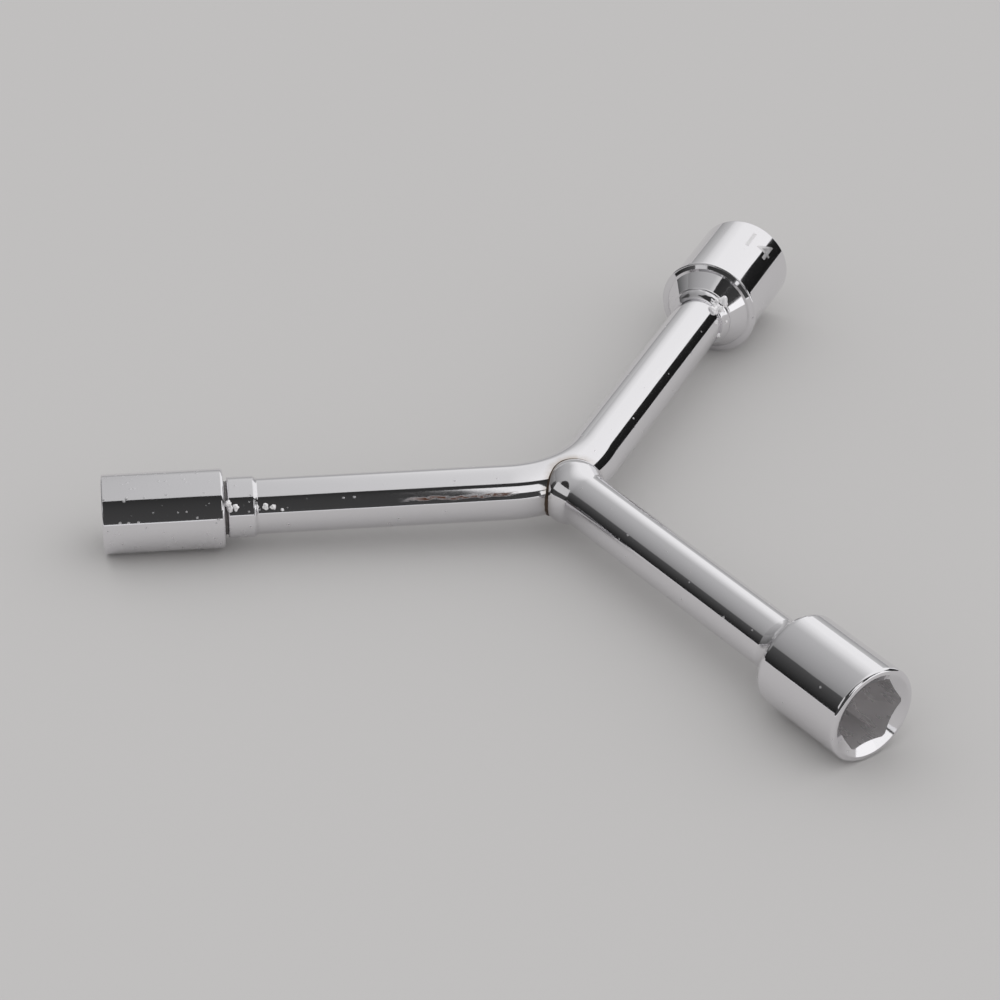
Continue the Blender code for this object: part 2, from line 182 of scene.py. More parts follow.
# Colours and roughness
BAR_COLOUR = (0.80, 0.79, 0.81)
BAR_ROUGHNESS = 0.05
BAR_SPECKS = 0.12  # the share of places that have a dull speck
SOCKET_COLOUR = (0.81, 0.80, 0.82)
SOCKET_ROUGHNESS = 0.045
SOCKET_SPECKS = 0.05
LEFT_SOCKET_SPECKS = 0.55
CHROME_SPREAD = 1.8  # the haziest chrome's roughness over the clearest's
ROUGH_SPREAD = 2.0  # the same for rough metal
SPECK_ROUGHNESS = 0.5  # added to the chrome's
HEAT_COLOUR = (0.42, 0.35, 0.28)
HEAT_FADE = 1.6
HEAT_SHARE = (0.25, 0.8)  # of the heat colour, in the palest and in the darkest patches
RUST_COLOUR = (0.10, 0.035, 0.015)
RUST_METALLIC = 0.1
RUST_ROUGHNESS = 0.35  # added to the chrome's
RUST_THINNEST = 0.2
BORE_COLOUR = (0.76, 0.745, 0.75)
BORE_METALLIC = 0.70
BORE_ROUGHNESS = (0.22, 0.36)
# Painted shade: the groove's dark colour stands in for the shadow in that recess
GROOVE_PAINTED_SHADE = {"colour": (0.22, 0.21, 0.21), "roughness": 0.30, "grain": 0.00001}
WELD_TINT = {"colour": (0.11, 0.08, 0.06), "roughness": 0.28, "grain": 0.00003}
WELD_CHROME = {"colour": (0.78, 0.77, 0.79), "roughness": 0.06, "grain": 0.000006}
# Painted glint: the spatter's near-white, partly matt colour makes its lumps show as bright spots;
# the lumps themselves are real weld spatter
WELD_SPATTER_PAINTED_GLINT = {
    "colour": (0.95, 0.94, 0.95), "roughness": 0.26, "grain": 0.00001, "metallic": 0.60}
STAMPED_FIGURE = {"colour": (0.71, 0.70, 0.71), "roughness": 0.24, "grain": 0.00001}

# Patterns in the metal: their steps in a metre, twice across and once along the bar
HAZE = (260.0, 260.0, 90.0)
WAVES = (150.0, 150.0, 70.0)
DRAWING_MARKS = (2600.0, 2600.0, 60.0)
SPECKS = (900.0, 900.0, 750.0)
HEAT_PATCHES = (700.0, 700.0, 500.0)
RUST_SWAYS = (0.0, 0.0, 260.0)
RUST_BREAKS = (2200.0, 2200.0, 700.0)
BORE_HAZE = (900.0, 900.0, 200.0)
BROACH_MARKS = (3000.0, 3000.0, 120.0)
ROUGH_HAZE = (1500.0, 1500.0, 1500.0)
ROUGH_GRAIN = (2500.0, 2500.0, 2500.0)
WAVE_HEIGHT = 0.00003
MARK_HEIGHT = 0.000001
SPECK_HEIGHT = 0.00001
BROACH_HEIGHT = 0.000004
SPECK_EDGE = (0.08, 0.24)  # from a speck's middle, as a share of the pattern's cell
PLAIN_DETAIL, SOME_DETAIL, FINE_DETAIL = 1.0, 2.0, 4.0

# The values of a pattern between which it goes from one look to the other
CHROME_HAZE_RANGE = (0.35, 0.75)
HAZE_RANGE = (0.3, 0.7)
HEAT_RANGE = (0.35, 0.65)
RUST_RANGE = (0.40, 0.50)

# The line of rust: where it starts, is whole, is still whole and ends, up from the bar's axis and
# then along the bar from the bend's middle
RUST_BAND = (0.00220, 0.00236, 0.00272, 0.00288)
RUST_STRETCH = (-0.0320, -0.0270, -0.0120, -0.0090)
RUST_FRONT = 0.001  # how far in front of the bar's axis it is whole
RUST_SWAY = 0.00022

# Camera, from the photograph's edges: pixels are of its 1000 by 1000 frame
PHOTO_WIDTH = 1000
FOCAL_PIXELS = 3466.3
LOOK_AZIMUTH = math.radians(82.910)
LOOK_ELEVATION = math.radians(33.472)
LOOK_ROLL = math.radians(-1.610)
CROSSING_DEPTH = 0.63568
CROSSING_PIXEL = (569.38, 488.91)
SENSOR_WIDTH_MM = 36.0
CLIP_START, CLIP_END = 0.01, 50.0

# Studio: a wide panel overhead that is brighter to the right, dim walls on four sides, and lamps.
# The metal reflects them, and the camera and the floor don't see them
PANEL_HEIGHT = 1.5
PANEL_LEFT, PANEL_RIGHT = -1.6 * PANEL_HEIGHT, 2.05 * PANEL_HEIGHT
PANEL_FRONT, PANEL_BACK = -0.35 * PANEL_HEIGHT, 3.0 * PANEL_HEIGHT
PANEL_STOPS = [
    (PANEL_LEFT, 0.24), (-1.1, 0.39), (-0.2, 0.52), (0.25, 0.84), (0.6, 0.97), (PANEL_RIGHT, 1.0)]
RIGHT_WALL_BACK = 1.3 * PANEL_HEIGHT
LEFT_WALL_BACK = 0.55 * PANEL_HEIGHT
WALL_GAP = 0.035  # between the floor and the walls, where the pale surround shows as a line

# Each wall: its two ends on the floor, and its glow at the bottom and at the top
WALLS = {
    "front_wall": ((PANEL_LEFT, PANEL_FRONT), (PANEL_RIGHT, PANEL_FRONT), 0.055, 0.025),
    "left_wall": ((PANEL_LEFT, PANEL_FRONT), (PANEL_LEFT, LEFT_WALL_BACK), 0.010, 0.085),
    "right_wall": ((PANEL_RIGHT, PANEL_FRONT), (PANEL_RIGHT, RIGHT_WALL_BACK), 0.010, 0.018),
    "back_wall": ((PANEL_LEFT, PANEL_BACK), (PANEL_RIGHT, PANEL_BACK), 0.34, 0.60),
    "left_back_wall": ((PANEL_LEFT, LEFT_WALL_BACK), (PANEL_LEFT, PANEL_BACK), 0.10, 0.32),
}

# Each lamp: its two ends on the floor, its height from and to, and its glow
LAMPS = {
    "front_lamp": ((0.05, -0.50), (0.40, -0.50), 0.26, 0.74, 0.95),
    "low_lamp": ((0.30, -0.50), (0.62, -0.50), 0.0, 0.22, 1.05),
    "side_lamp": ((0.62, -0.50), (0.80, -0.15), 0.0, 0.35, 1.1),
    "left_lamp": ((-0.34, -0.36), (-0.485, -0.05), 0.16, 0.45, 0.62),
}
FLOOR_HALF_WIDTH = 9.0
FLOOR_COLOUR = (0.575, 0.565, 0.555)
FLOOR_ROUGHNESS = 0.9
WORLD_COLOUR = (0.80, 0.80, 0.81)
WORLD_FILL = 1.15  # the surround's strength on matt surfaces, where the camera sees it at 1

MOUNTS = {mount["name"]: mount for mount in frame["record"]["mounts"]}


def arm_axis(name):
    return Vector(MOUNTS[name + "_mouth"]["axis"]).normalized()


def hexagon_middle(name):
    """A point on the arm's axis, over the middle of the hexagon's lowest flat."""
    mount = MOUNTS[name + "_hex_flat"]
    half = (HEADS[name]["flats"] + BROACH_CLEARANCE) / 2
    return Vector(mount["pos_m"]) + Vector(mount["axis"]).normalized() * half


def crossing_of_axes():
    """The point nearest to the axes of the three arms."""
    spread = Matrix(((0.0,) * 3,) * 3)
    pull = Vector((0.0, 0.0, 0.0))
    for name in HEADS:
        axis = arm_axis(name)
        square = Matrix.Identity(3) - Matrix([[a * b for b in axis] for a in axis])
        spread += square
        pull += square @ hexagon_middle(name)
    return spread.inverted() @ pull


UP = Vector(MOUNTS["left_hex_flat"]["axis"]).normalized()
CROSSING = crossing_of_axes()

# The long bar's bend: its turn, how far from the crossing it starts and ends, and its middle
BEND_TURN = math.pi - ARM_ANGLE
BEND_END = BEND_RADIUS * math.tan(BEND_TURN / 2)
BEND_CENTRE = CROSSING - arm_axis("near") * (BEND_RADIUS / math.cos(BEND_TURN / 2))


def arm_placing(name, station):
    """Local Z points out along an arm and local X points up, at a distance from the crossing."""
    along = arm_axis(name)
    side = along.cross(UP).normalized()
    turn = Matrix((side.cross(along), side, along)).transposed().to_4x4()
    return Matrix.Translation(CROSSING + along * station) @ turn


# Meshes

def hex_corner_radius(across_flats):
    return (across_flats + BROACH_CLEARANCE) / math.sqrt(3)


def head_radius(head):
    return hex_corner_radius(head["flats"]) + head["wall"]


def arc(centre_r, centre_z, radius, start, end, steps):
    """Points of an arc in an outline, as (r, z), from the angle start to the angle end."""
    points = []
    for i in range(steps + 1):
        angle = start + (end - start) * i / steps
        points.append((centre_r + radius * math.cos(angle), centre_z + radius * math.sin(angle)))
    return points


def with_holds(outline):
    """The outline with a point close to each end of its straight runs, all but the shortest."""
    held = [outline[0]]
    for (r0, z0), (r1, z1) in zip(outline, outline[1:]):
        length = math.hypot(r1 - r0, z1 - z0)
        if length > SHORTEST_HELD:
            for share in (HOLD / length, 1 - HOLD / length):
                held.append((r0 + (r1 - r0) * share, z0 + (z1 - z0) * share))
        held.append((r1, z1))
    return held


def finish_mesh(shape, name):
    """Writes the bmesh to a mesh that is merged, faces out and is smooth but for its edges."""
    bmesh.ops.remove_doubles(shape, verts=shape.verts, dist=MERGE_DISTANCE)
    bmesh.ops.recalc_face_normals(shape, faces=shape.faces)
    mesh = bpy.data.meshes.new(name)
    shape.to_mesh(mesh)
    shape.free()
    mesh.shade_smooth()
    mesh.set_sharp_from_angle(angle=SMOOTH_LIMIT)
    return mesh


def skin_rings(shape, rings):
    """Faces between neighbouring rings. A ring of one vertex is a pole."""
    for one, two in zip(rings, rings[1:]):
        count = max(len(one), len(two))
        for i in range(count):
            j = (i + 1) % count
            if len(one) == 1:
                shape.faces.new((one[0], two[i], two[j]))
            elif len(two) == 1:
                shape.faces.new((one[i], two[0], one[j]))
            else:
                shape.faces.new((one[i], two[i], two[j], one[j]))


def turned_mesh(name, outline, closed=False, swell=None):
    """A solid of revolution about Z, from (r, z) points that swell(angle, r, z) moves outward."""
    shape = bmesh.new()
    rings = []
    for r, z in with_holds(outline + outline[:1] if closed else outline):
        if r < MERGE_DISTANCE:
            rings.append([shape.verts.new((0.0, 0.0, z))])
            continue
        ring = []
        for i in range(ROUND):
            angle = 2 * math.pi * i / ROUND
            grown = r + (swell(angle, r, z) if swell else 0.0)
            ring.append(shape.verts.new((grown * math.cos(angle), grown * math.sin(angle), z)))
        rings.append(ring)
    skin_rings(shape, rings)
    return finish_mesh(shape, name)


def swept_mesh(name, path, radius, stations):
    """A round bar along a path in the arms' plane, with each point's place on a straight bar."""
    shape = bmesh.new()
    place = shape.verts.layers.float_vector.new(PLACE)
    rings = []
    for (centre, tangent), station in zip(path, stations):
        side = tangent.cross(UP).normalized()
        ring = []
        for i in range(ROUND):
            angle = 2 * math.pi * i / ROUND
            across = radius * math.cos(angle)
            beside = radius * math.sin(angle)
            vertex = shape.verts.new(centre + UP * across + side * beside)
            vertex[place] = Vector((across, beside, station))
            ring.append(vertex)
        rings.append(ring)
    skin_rings(shape, rings)
    for ring in (rings[0], rings[-1]):
        shape.faces.new(ring)
    return finish_mesh(shape, name)


def keep_place(mesh):
    """Stores each vertex's local place, which the metal's grain follows."""
    layer = mesh.attributes.new(PLACE, "FLOAT_VECTOR", "POINT")
    for i, vertex in enumerate(mesh.vertices):
        layer.data[i].vector = vertex.co


def keep_tint(mesh, crease):
    """Stores how close each vertex is to the weld: 1 at the weld, and 0 where the heat ended."""
    tree = kdtree.KDTree(len(crease))
    for i, point in enumerate(crease):
        tree.insert(point, i)
    tree.balance()
    layer = mesh.attributes.new(TINT, "FLOAT", "POINT")
    for i, vertex in enumerate(mesh.vertices):
        distance = tree.find(vertex.co)[2]
        layer.data[i].value = max(0.0, 1.0 - distance / TINT_REACH)


def add_piece(name, mesh, materials, nodes=(), placing=None):
    """Puts a mesh in the scene as a piece that rides on the wrench."""
    piece = bpy.data.objects.new(name, mesh)
    bpy.context.scene.collection.objects.link(piece)
    for material in materials:
        mesh.materials.append(material)
    if placing:
        mesh.transform(placing)
    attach(piece, "root")
    if nodes:
        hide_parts(*nodes)


def without(mesh, tool_mesh):
    """The mesh with a tool cut out of it. Both are in the same local frame."""
    piece = bpy.data.objects.new("cut", mesh)
    tool = bpy.data.objects.new("tool", tool_mesh)
    for thing in (piece, tool):
        bpy.context.scene.collection.objects.link(thing)
    cut = piece.modifiers.new("cut", "BOOLEAN")
    cut.operation = "DIFFERENCE"
    cut.solver = "EXACT"
    cut.object = tool
    bpy.context.view_layer.update()
    evaluated = piece.evaluated_get(bpy.context.evaluated_depsgraph_get())
    result = bpy.data.meshes.new_from_object(evaluated)
    result.name = mesh.name
    for thing in (piece, tool):
        bpy.data.objects.remove(thing, do_unlink=True)
    result.shade_smooth()
    result.set_sharp_from_angle(angle=SMOOTH_LIMIT)
    return result


def hexagon_mesh(across_flats, bottom, top):
    """A hexagonal prism along Z, with its flats facing up and down."""
    shape = bmesh.new()
    radius = hex_corner_radius(across_flats)
    bmesh.ops.create_cone(
        shape, cap_ends=True, segments=HEX_SIDES, radius1=radius, radius2=radius,
        depth=top - bottom, matrix=Matrix.Translation((0.0, 0.0, (top + bottom) / 2)))
    corners = []
    for edge in shape.edges:
        rise = edge.verts[1].co.z - edge.verts[0].co.z
        if abs(rise) > MERGE_DISTANCE:
            corners.append(edge)
    bmesh.ops.bevel(shape, geom=corners, offset=HEX_CORNER_ROUND, segments=1, affect="EDGES")
    return finish_mesh(shape, "hexagon")


# Bars

def bent_bar_path():
    """Centres, tangents and stations of the long bar, from the left head to the far head."""
    left, far, near = arm_axis("left"), arm_axis("far"), arm_axis("near")
    path, stations = [], []
    left_end = LEFT["reach"] - LEFT["length"] + BAR_IN_HEAD
    for station in (left_end, BEND_END + HOLD):
        path.append((CROSSING + left * station, -left))
        stations.append(-station)
    for i in range(BEND_STEPS + 1):
        angle = BEND_TURN * (i / BEND_STEPS - 0.5)
        out = near * math.cos(angle) + UP.cross(near) * math.sin(angle)
        path.append((BEND_CENTRE + out * BEND_RADIUS, UP.cross(out).normalized()))
        stations.append(BEND_RADIUS * angle)
    far_end = FAR["reach"] - FAR["length"] + BAR_IN_HEAD
    for station in (BEND_END + HOLD, far_end):
        path.append((CROSSING + far * station, far))
        stations.append(station)
    return path, stations


def bent_bar(metal, crease):
    path, stations = bent_bar_path()
    mesh = swept_mesh("bent_bar_skin", path, BAR_RADIUS, stations)
    keep_tint(mesh, crease)
    add_piece("bent_bar_skin", mesh, [metal], ["bent_bar"])


def foot_outline():
    """Outline of the branch bar about its axis, from its outer end to its ball foot's pole."""
    outer = NEAR["reach"] - NEAR["length"] + BAR_IN_HEAD
    outline = [(0.0, outer), (BAR_RADIUS, outer)]
    for i in range(BALL_STEPS + 1):
        share = i / BALL_STEPS
        ease = (1 + math.cos(math.pi * share)) / 2
        station = FOOT_CENTRE + FOOT_FILLET_LENGTH * (1 - share)
        outline.append((FOOT_RADIUS - (FOOT_RADIUS - BAR_RADIUS) * ease, station))
    outline += arc(0.0, FOOT_CENTRE, FOOT_RADIUS, 0.0, -math.pi / 2, BALL_STEPS)[1:-1]
    outline.append((0.0, FOOT_CENTRE - FOOT_RADIUS))
    return outline


def branch_bar(metal, crease):
    mesh = turned_mesh("branch_bar_skin", foot_outline())
    keep_place(mesh)
    add_piece(
        "branch_bar_skin", mesh, [metal], ["branch_bar"], arm_placing("near", 0.0))
    keep_tint(mesh, crease)


def distance_to_bend(point):
    """Distance from a point to the long bar's centreline."""
    reach = point - CROSSING
    for axis in (arm_axis("left"), arm_axis("far")):
        if reach.dot(axis) > BEND_END:
            return (reach - axis * reach.dot(axis)).length
    offset = point - BEND_CENTRE
    height = offset.dot(UP)
    flat = (offset - UP * height).length
    return math.hypot(flat - BEND_RADIUS, height)


def crease_points(count):
    """Where the ball foot's surface meets the long bar's surface, all round."""
    placing = arm_placing("near", 0.0)
    outline = [point for point in foot_outline() if point[0] > 0.0]
    points = []
    for i in range(count):
        angle = 2 * math.pi * i / count
        previous = None
        for r, z in outline:
            point = placing @ Vector((r * math.cos(angle), r * math.sin(angle), z))
            over = distance_to_bend(point) - BAR_RADIUS
            if over <= 0.0 and previous:
                share = previous[1] / (previous[1] - over)
                points.append(previous[0].lerp(point, share))
                break
            previous = (point, over)
    return points


def bead_mesh(name, points):
    """A closed bead of weld metal along a loop of points. It is lumpy, and thinnest at the top."""
    shape = bmesh.new()
    rings = []
    count = len(points)
    for i, centre in enumerate(points):
        tangent = (points[(i + 1) % count] - points[i - 1]).normalized()
        side = tangent.cross(CROSSING - centre).normalized()
        out = side.cross(tangent)
        height = min(1.0, max(0.0, (centre - CROSSING).dot(UP) / BAR_RADIUS))
        radius = BEAD_RADIUS_LOW + (BEAD_RADIUS_TOP - BEAD_RADIUS_LOW) * height
        ring = []
        for k in range(BEAD_SIDES):
            angle = 2 * math.pi * k / BEAD_SIDES
            seed = Vector((BEAD_SEED, 0.0, math.cos(angle)))
            lump = noise.noise(centre / BEAD_LUMP_SIZE + seed)
            grown = radius * (1 + BEAD_LUMP * lump)
            around = out * math.cos(angle) + side * math.sin(angle)
            ring.append(shape.verts.new(centre + around * grown))
        rings.append(ring)
    skin_rings(shape, rings + rings[:1])
    return finish_mesh(shape, name)


def junction_weld(metal, crease):
    mesh = bead_mesh("junction_weld_bead", crease)
    keep_place(mesh)
    add_piece("junction_weld_bead", mesh, [metal], ["junction_weld"])


def step_fall(share):
    """A plain rounded step, over the first part of the ring."""
    return (1 + math.cos(math.pi * min(1.0, share / STEP_SHARE))) / 2


def fillet_fall(share):
    """A hollow fillet from the head's back down to the bar."""
    return (1 - share) ** FILLET_POWER


def ring_fall(share):
    """A full, raised ring of weld metal."""
    return (0.5 + 0.5 * math.cos(math.pi * share ** RING_LEAN)) ** RING_FULLNESS


def neck_weld(name, arm, fall, metal):
    """A ring of weld metal behind a head. Its height falls from 1 at the head to 0 at its end."""
    length, proud, seed = (NECK_WELDS[arm][key] for key in ("length", "proud", "seed"))

    def ripple(angle, r, z):
        if r <= BAR_RADIUS:
            return 0.0
        share = (r - BAR_RADIUS + HOLD) / (proud + HOLD)
        drift = RIPPLE_DRIFT * math.sin(angle * RIPPLE_DRIFTS + seed)
        wave = math.sin(angle * WELD_RIPPLES + drift)
        spot = Vector((
            math.cos(angle) * ROUGH_LUMPS,
            math.sin(angle) * ROUGH_LUMPS,
            seed + z / ROUGH_LENGTH))
        rough = noise.noise(spot)
        return WELD_RIPPLE * share * (wave + ROUGH_SHARE * rough)

    outline = [(BAR_RADIUS - MOUTH_EDGE, HOLD)]
    for i in range(WELD_STEPS + 1):
        share = i / WELD_STEPS
        outline.append((BAR_RADIUS - HOLD + (proud + HOLD) * fall(share), -length * share))
    outline.append((BAR_RADIUS - MOUTH_EDGE, -length))
    mesh = turned_mesh(name, outline, closed=True, swell=ripple)
    keep_place(mesh)
    head = HEADS[arm]
    add_piece(
        name, mesh, [metal], [arm + "_neck_weld"],
        arm_placing(arm, head["reach"] - head["length"]))


def spatter(metal):
    """Small lumps of weld metal on the bars and heads."""
    shape = bmesh.new()
    for number, (arm, station, angle, radius, size) in enumerate(SPATTER):
        turn = Matrix.Rotation(math.radians(angle), 4, "Z")
        sunk = Matrix.Translation((radius - SPATTER_SINK * size, 0.0, 0.0))
        spot = arm_placing(arm, station) @ turn @ sunk
        seed = Vector((SPATTER_SEED_STEP * number, 0.0, 0.0))
        lump = bmesh.ops.create_icosphere(shape, subdivisions=SPATTER_SUBDIVISIONS, radius=size)
        for vertex in lump["verts"]:
            bulge = noise.noise(vertex.co / size * SPATTER_LUMPS + seed)
            vertex.co = spot @ (vertex.co * (1 + SPATTER_LUMP * bulge))
    mesh = finish_mesh(shape, "weld_spatter_painted_glint")
    keep_place(mesh)
    add_piece("weld_spatter_painted_glint", mesh, [metal])


def numeral(metal):
    """The far head's size, in plain figures wrapped round the head."""
    words = bpy.data.curves.new("size_numeral", "FONT")
    words.body = NUMERAL
    words.size = NUMERAL_SIZE
    words.align_x, words.align_y = "CENTER", "CENTER"
    words.extrude = NUMERAL_PROUD
    words.offset = NUMERAL_BOLD
    flat = bpy.data.objects.new("size_numeral_flat", words)
    bpy.context.scene.collection.objects.link(flat)
    bpy.context.view_layer.update()
    evaluated = flat.evaluated_get(bpy.context.evaluated_depsgraph_get())
    mesh = bpy.data.meshes.new_from_object(evaluated)
    bpy.data.objects.remove(flat, do_unlink=True)
    shape = bmesh.new()
    shape.from_mesh(mesh)
    cuts = int(max(abs(vertex.co.x) for vertex in shape.verts) / NUMERAL_CUT)
    for k in range(-cuts, cuts + 1):
        everything = shape.verts[:] + shape.edges[:] + shape.faces[:]
        bmesh.ops.bisect_plane(
            shape, geom=everything, plane_co=(k * NUMERAL_CUT, 0, 0), plane_no=(1, 0, 0))
    radius = head_radius(FAR)
    for vertex in shape.verts:
        angle = NUMERAL_ANGLE + vertex.co.x / radius
        grown = radius + vertex.co.z
        vertex.co = Vector((grown * math.cos(angle), grown * math.sin(angle), vertex.co.y))
    mesh = finish_mesh(shape, "size_numeral")
    keep_place(mesh)
    placing = arm_placing("far", NUMERAL_STATION)
    add_piece("size_numeral", mesh, [metal], placing=placing)


# Sockets

def hole_outline(head):
    """The round part of a socket's hole, from its floor up to the mouth at z = 0."""
    hole_radius = head["flats"] / 2 - RELIEF_UNDERSIZE
    mouth_radius = hex_corner_radius(head["flats"]) + head["lead_in"]
    lead_in = (mouth_radius - hole_radius) / math.tan(LEAD_IN_ANGLE)
    floor = -head["depth"] - RELIEF_LENGTH
    return [
        (0.0, floor - FLOOR_CONE_DEPTH),
        (hole_radius, floor),
        (hole_radius, -lead_in),
        (mouth_radius, 0.0),
    ]


def left_outline():
    radius = head_radius(LEFT)
    collar = BAR_RADIUS + LEFT_COLLAR_PROUD
    groove = collar - LEFT_GROOVE_DEPTH
    shoulder = -LEFT_SHOULDER
    collar_front = shoulder - LEFT_GROOVE_WIDTH
    rear = -LEFT["length"]
    outline = arc(radius - MOUTH_EDGE, -MOUTH_EDGE, MOUTH_EDGE, math.pi / 2, 0.0, EDGE_STEPS)
    outline += arc(
        radius - SHOULDER_EDGE, shoulder + SHOULDER_EDGE, SHOULDER_EDGE,
        0.0, -math.pi / 2, EDGE_STEPS)
    half = LEFT_GROOVE_WIDTH / 2
    outline += arc(groove + half, shoulder - half, half, math.pi / 2, 3 * math.pi / 2, EDGE_STEPS)
    outline += arc(
        collar - MOUTH_EDGE, collar_front - MOUTH_EDGE, MOUTH_EDGE, math.pi / 2, 0.0, EDGE_STEPS)
    outline += arc(collar - HOLD, rear + HOLD, HOLD, 0.0, -math.pi / 2, REAR_EDGE_STEPS)
    return outline + [(0.0, rear)]


def far_outline():
    radius = head_radius(FAR)
    flange = radius + FAR_FLANGE_PROUD
    root = BAR_RADIUS + FAR_HUB_ROOT_PROUD
    front = -FAR_FLANGE_BACK + FAR_FLANGE_LAND
    rear = -FAR["length"]
    outline = arc(
        radius - FAR_MOUTH_ROUND, -FAR_MOUTH_ROUND, FAR_MOUTH_ROUND, math.pi / 2, 0.0, EDGE_STEPS)
    outline += [(radius, front + FAR_FLANGE_PROUD), (flange, front)]
    outline += arc(
        flange - FAR_FLANGE_EDGE, -FAR_FLANGE_BACK + FAR_FLANGE_EDGE, FAR_FLANGE_EDGE,
        0.0, -math.pi / 2, EDGE_STEPS)
    dish = -FAR_FLANGE_BACK - FAR_FLANGE_DISH
    outline += [
        (FAR_HUB_RADIUS + FAR_HUB_FILLET, dish + FAR_HUB_FILLET / 4),
        (FAR_HUB_RADIUS, dish)]
    outline += arc(
        root - FAR_HUB_EDGE, rear + FAR_HUB_EDGE, FAR_HUB_EDGE, 0.0, -math.pi / 2, EDGE_STEPS)
    return outline + [(0.0, rear)]


def near_outline():
    radius = head_radius(NEAR)
    rear = -NEAR["length"]
    outline = arc(
        radius - NEAR_MOUTH_ROUND, -NEAR_MOUTH_ROUND, NEAR_MOUTH_ROUND,
        math.pi / 2, 0.0, EDGE_STEPS)
    outline += arc(
        radius - NEAR_SHOULDER_ROUND, rear + NEAR_SHOULDER_ROUND, NEAR_SHOULDER_ROUND,
        0.0, -math.pi / 2, EDGE_STEPS)
    return outline + [(0.0, rear)]


def in_bore(face, head):
    """Whether a face of a head is of its hexagonal hole, and not of the lead-in cone."""
    radius, z = math.hypot(face.center.x, face.center.y), face.center.z
    behind = -head["depth"] - RELIEF_LENGTH - FLOOR_CONE_DEPTH
    inside = radius < hex_corner_radius(head["flats"]) and behind <= z < -HOLD
    steep = abs(face.normal.z) < math.sin(LEAD_IN_ANGLE) / 2
    return inside and (z < -head["depth"] / 2 or steep)


def in_groove(face):
    """Whether a face of the left head is in the groove behind its shoulder."""
    radius, z = math.hypot(face.center.x, face.center.y), face.center.z
    back = -LEFT_SHOULDER - LEFT_GROOVE_WIDTH
    collar_edge = BAR_RADIUS + LEFT_COLLAR_PROUD - MOUTH_EDGE
    return back + HOLD < z < -LEFT_SHOULDER - HOLD and radius < collar_edge


def socket(arm, outer_outline, metals):
    """A head with its hole cut. Metals: its outside's, its hole's and its groove's painted shade.
    """
    head = HEADS[arm]
    name = arm + "_socket_skin"
    blank = turned_mesh(name, hole_outline(head) + outer_outline)
    mesh = without(blank, hexagon_mesh(head["flats"], -head["depth"], MOUTH_EDGE))
    keep_place(mesh)
    for face in mesh.polygons:
        if in_bore(face, head):
            face.material_index = 1
        # The groove's faces get the dark painted shade
        elif arm == "left" and in_groove(face):
            face.material_index = 2
    placing = arm_placing(arm, head["reach"])
    add_piece(name, mesh, metals, [arm + "_socket"], placing)


# Materials

class Nodes:
    """A new material, with short words for building its nodes."""

    def __init__(self, name):
        self.material = bpy.data.materials.new(name)
        self.material.use_nodes = True
        self.tree = self.material.node_tree
        self.shader = self.tree.nodes["Principled BSDF"]

    def add(self, kind, **settings):
        node = self.tree.nodes.new("ShaderNode" + kind)
        for key, value in settings.items():
            setattr(node, key, value)
        return node

    def link(self, source, target):
        self.tree.links.new(source, target)

    def place(self, scale):
        """The place on the metal, times a scale along each local axis."""
        attribute = self.add("Attribute", attribute_name=PLACE)
        mapping = self.add("Mapping")
        mapping.inputs["Scale"].default_value = scale
        self.link(attribute.outputs["Vector"], mapping.inputs["Vector"])
        return mapping.outputs["Vector"]

    def noise(self, scale, detail=SOME_DETAIL):
        texture = self.add("TexNoise")
        texture.inputs["Scale"].default_value = 1.0
        texture.inputs["Detail"].default_value = detail
        self.link(self.place(scale), texture.inputs["Vector"])
        return texture.outputs["Fac"]

    def ramp(self, value, low, high, out_low, out_high):
        """Goes from out_low to out_high where the value goes from low to high."""
        node = self.add("MapRange")
        node.inputs["From Min"].default_value = low
        node.inputs["From Max"].default_value = high
        node.inputs["To Min"].default_value = out_low
        node.inputs["To Max"].default_value = out_high
        self.link(value, node.inputs["Value"])
        return node.outputs["Result"]

    def band(self, value, start, whole, still_whole, end):
        """1 where the value is between whole and still_whole, and 0 before start and after end."""
        rise = self.ramp(value, start, whole, 0.0, 1.0)
        fall = self.ramp(value, still_whole, end, 1.0, 0.0)
        return self.math("MULTIPLY", rise, fall)

    def math(self, operation, one, two):
        node = self.add("Math", operation=operation)
        for socket_in, value in zip(node.inputs, (one, two)):
            if isinstance(value, (int, float)):
                socket_in.default_value = value
            else:
                self.link(value, socket_in)
        return node.outputs["Value"]

    def mix(self, share, one, two):
        """The share of the way from colour one, which may be an output, to colour two."""
        node = self.add("MixRGB")
        self.link(share, node.inputs["Fac"])
        if isinstance(one, tuple):
            node.inputs["Color1"].default_value = (*one, 1.0)
        else:
            self.link(one, node.inputs["Color1"])
        node.inputs["Color2"].default_value = (*two, 1.0)
        return node.outputs["Color"]

    def bump(self, height, distance, before=None):
        node = self.add("Bump")
        node.inputs["Strength"].default_value = 1.0
        node.inputs["Distance"].default_value = distance
        self.link(height, node.inputs["Height"])
        if before:
            self.link(before, node.inputs["Normal"])
        return node.outputs["Normal"]


def specks(nodes, share):
    """Scattered small dull specks in a share of the cells: 1 in a speck and 0 elsewhere."""
    cells = nodes.add("TexVoronoi")
    cells.inputs["Scale"].default_value = 1.0
    nodes.link(nodes.place(SPECKS), cells.inputs["Vector"])
    spot = nodes.ramp(cells.outputs["Distance"], *SPECK_EDGE, 1.0, 0.0)
    split = nodes.add("SeparateColor")
    nodes.link(cells.outputs["Color"], split.inputs["Color"])
    chosen = nodes.math("LESS_THAN", split.outputs["Red"], share)
    return nodes.math("MULTIPLY", spot, chosen)


def heat_halo(nodes):
    """The share of heat colour: patches beside the weld that fade away from it."""
    near_weld = nodes.add("Attribute", attribute_name=TINT)
    patches = nodes.ramp(nodes.noise(HEAT_PATCHES), *HEAT_RANGE, *HEAT_SHARE)
    faded = nodes.math("POWER", near_weld.outputs["Fac"], HEAT_FADE)
    return nodes.math("MULTIPLY", faded, patches)


